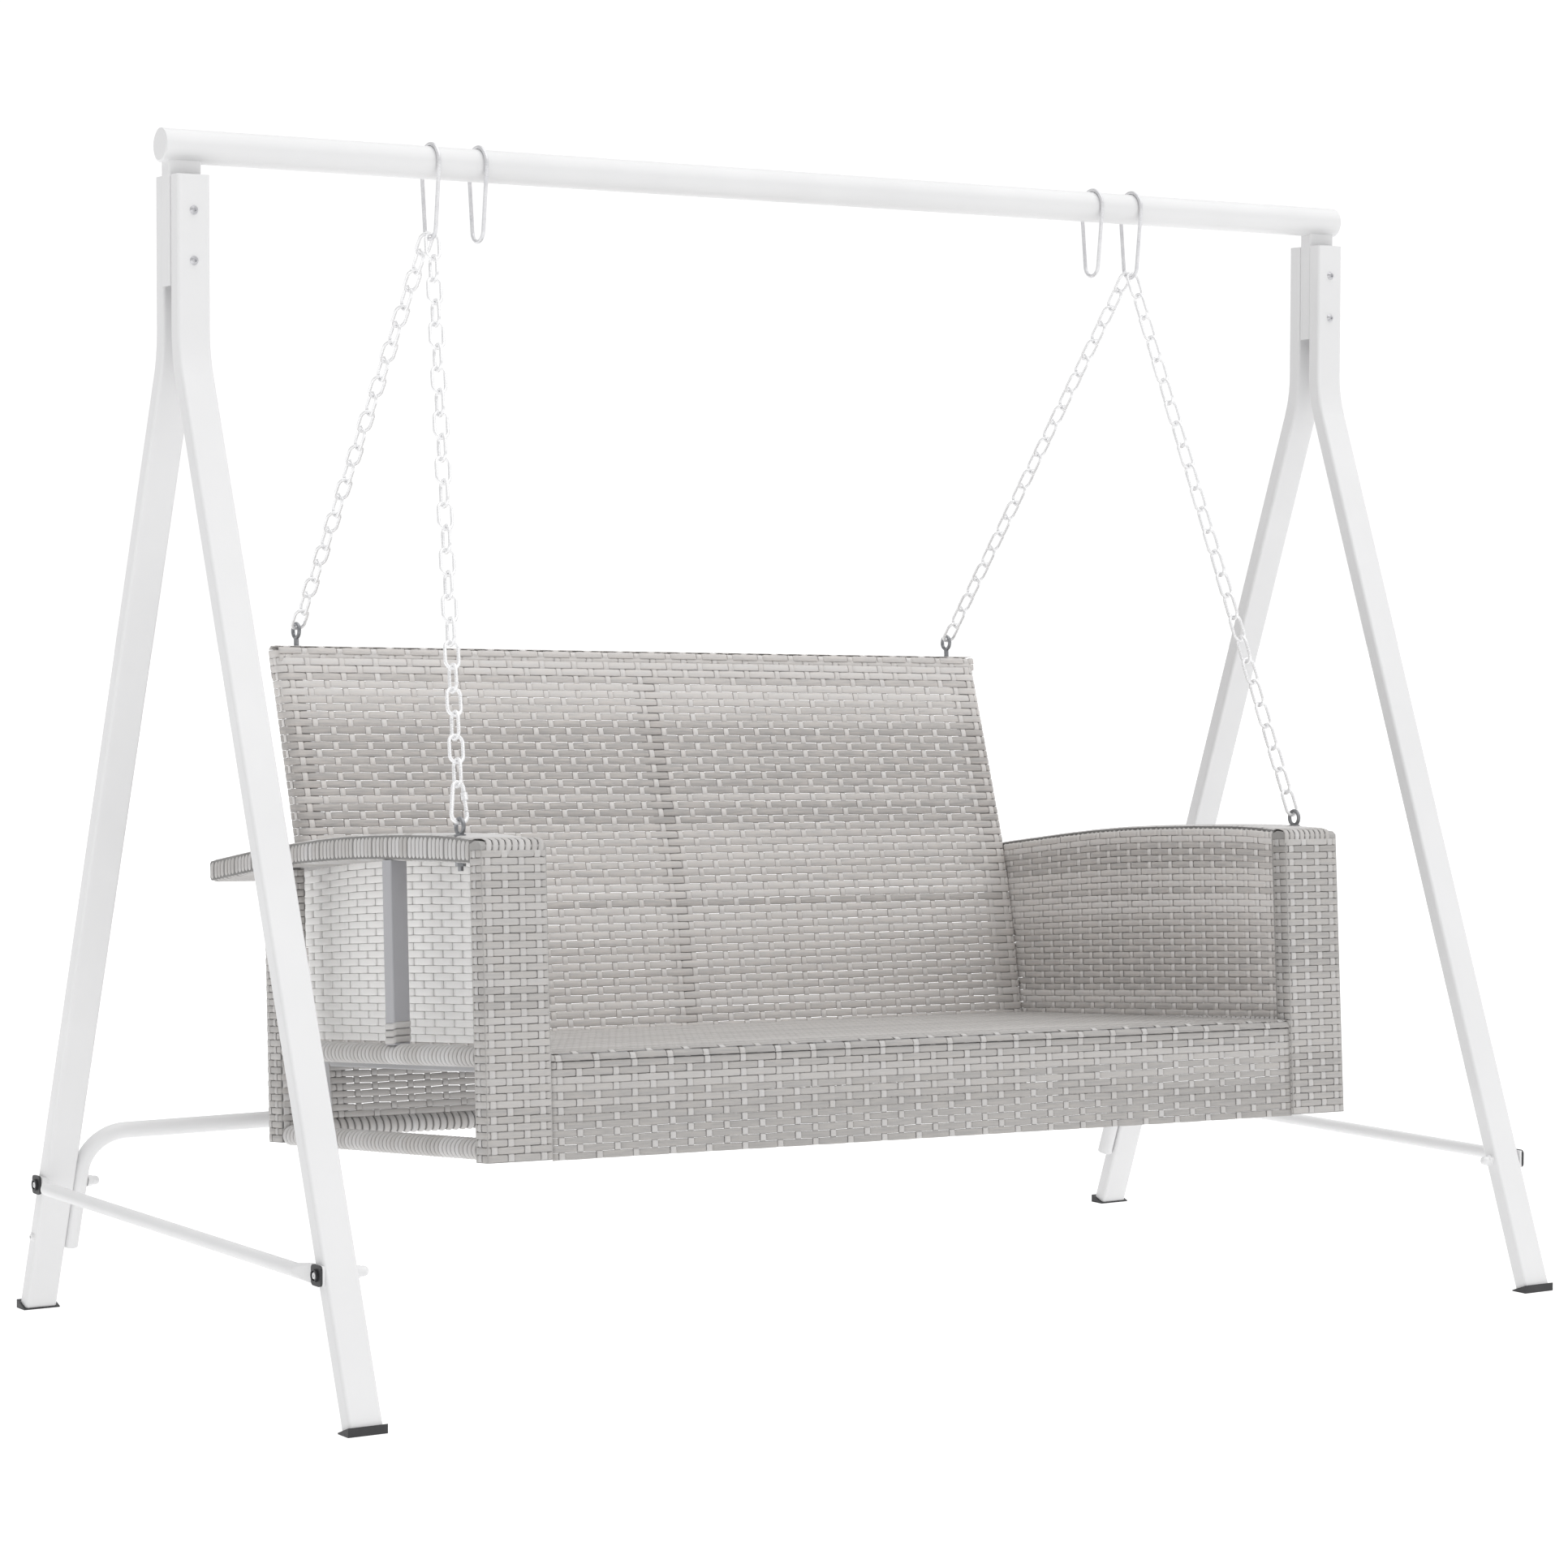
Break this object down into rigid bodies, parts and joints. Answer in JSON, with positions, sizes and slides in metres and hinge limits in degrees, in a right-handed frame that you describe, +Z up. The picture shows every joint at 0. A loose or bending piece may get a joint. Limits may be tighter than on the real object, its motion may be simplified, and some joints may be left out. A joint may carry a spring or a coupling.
{
  "type": "porch swing",
  "caption": "Woven resin bench hanging by chains from hooks on the top beam of a white tubular A-frame stand.",
  "frame": {"origin": "on the ground under the middle of the top beam", "axes": "+X along the top beam, -Y towards the side the sitter faces, +Z up"},
  "size_m": [2.145, 1.1284, 1.7473],
  "materials": {
    "white_powder_coat": "smooth white powder coat, satin",
    "black_plastic": "moulded black plastic",
    "zinc_hardware": "bright zinc plate",
    "hook_wire": "white coated wire",
    "bright_chain": "white coated welded chain",
    "grey_wicker": "flat resin wicker strand, plain weave",
    "bench_frame": "grey powder coat",
    "dark_steel": "dark zinc plate"
  },
  "bodies": {
    "stand": {"top_beam": "white_powder_coat", "beam_end_caps": "white_powder_coat", "left_beam_post": "white_powder_coat", "right_beam_post": "white_powder_coat", "left_front_leg": "white_powder_coat", "right_front_leg": "white_powder_coat", "left_rear_leg": "white_powder_coat", "right_rear_leg": "white_powder_coat", "foot_caps": "black_plastic", "rear_crossbar": "white_powder_coat", "left_side_rail": "white_powder_coat", "right_side_rail": "white_powder_coat", "rail_end_covers": "black_plastic", "leg_bolts": "zinc_hardware", "leg_bolt_nuts": "zinc_hardware", "rail_bolts": "white_powder_coat", "rail_cap_nuts": "white_powder_coat", "rail_washers": "white_powder_coat", "crossbar_lower_bolts": "white_powder_coat"},
    "swing_hooks": {"left_swing_hook": "hook_wire", "right_swing_hook": "hook_wire"},
    "left_spare": {"left_spare_hook": "hook_wire"},
    "right_spare": {"right_spare_hook": "hook_wire"},
    "bench": {"left_front_chain": "bright_chain", "right_front_chain": "bright_chain", "left_rear_chain": "bright_chain", "right_rear_chain": "bright_chain", "carabiner_body": "bright_chain", "seat_front_beam": "bench_frame", "seat_rear_rail": "bench_frame", "seat_side_rails": "bench_frame", "seat_cross_supports": "bench_frame", "seat_weave": "grey_wicker", "front_apron": "grey_wicker", "rear_apron": "grey_wicker", "back_top_rail": "bench_frame", "back_stiles": "bench_frame", "back_weave": "grey_wicker", "back_bottom_rail": "bench_frame", "left_front_post": "grey_wicker", "right_front_post": "grey_wicker", "front_post_tubes": "bench_frame", "left_arm_top": "grey_wicker", "right_arm_top": "grey_wicker", "left_arm_panel": "grey_wicker", "right_arm_panel": "grey_wicker", "side_mid_rails": "bench_frame", "side_bottom_rails": "bench_frame", "left_rear_column": "grey_wicker", "right_rear_column": "grey_wicker", "arm_braces": "bench_frame", "arm_frame_tubes": "bench_frame", "eyebolts": "dark_steel", "eyebolt_nuts": "dark_steel"},
    "gate": {"carabiner_gate": "bright_chain"},
    "sleeve": {"carabiner_sleeve": "bright_chain"}
  },
  "joints": [
    {"name": "hook_swing", "type": "hinge", "parent": "stand", "child": "swing_hooks", "pos_m": [0, 0, 1.717], "axis": [1, 0, 0], "range_deg": [-8, 2]},
    {"name": "bench_swing", "type": "hinge", "parent": "swing_hooks", "child": "bench", "pos_m": [0, 0, 1.624], "axis": [1, 0, 0], "range_deg": [-14, 2.5]},
    {"name": "left_spare_swing", "type": "hinge", "parent": "stand", "child": "left_spare", "pos_m": [-0.56, 0, 1.717], "axis": [1, 0, 0], "range_deg": [-60, 60]},
    {"name": "right_spare_swing", "type": "hinge", "parent": "stand", "child": "right_spare", "pos_m": [0.56, 0, 1.717], "axis": [1, 0, 0], "range_deg": [-60, 60]},
    {"name": "gate_open", "type": "hinge", "parent": "bench", "child": "gate", "pos_m": [-0.72913, -0.28026, 0.78682], "axis": [0, 0.9483, -0.3175], "range_deg": [-18, 0], "stiffness_Nm_per_rad": 0.1, "springref_deg": 8.59},
    {"name": "sleeve_slide", "type": "slide", "parent": "gate", "child": "sleeve", "axis": [0.0158, 0.3174, 0.9482], "range_m": [0, 0.005]}
  ]
}
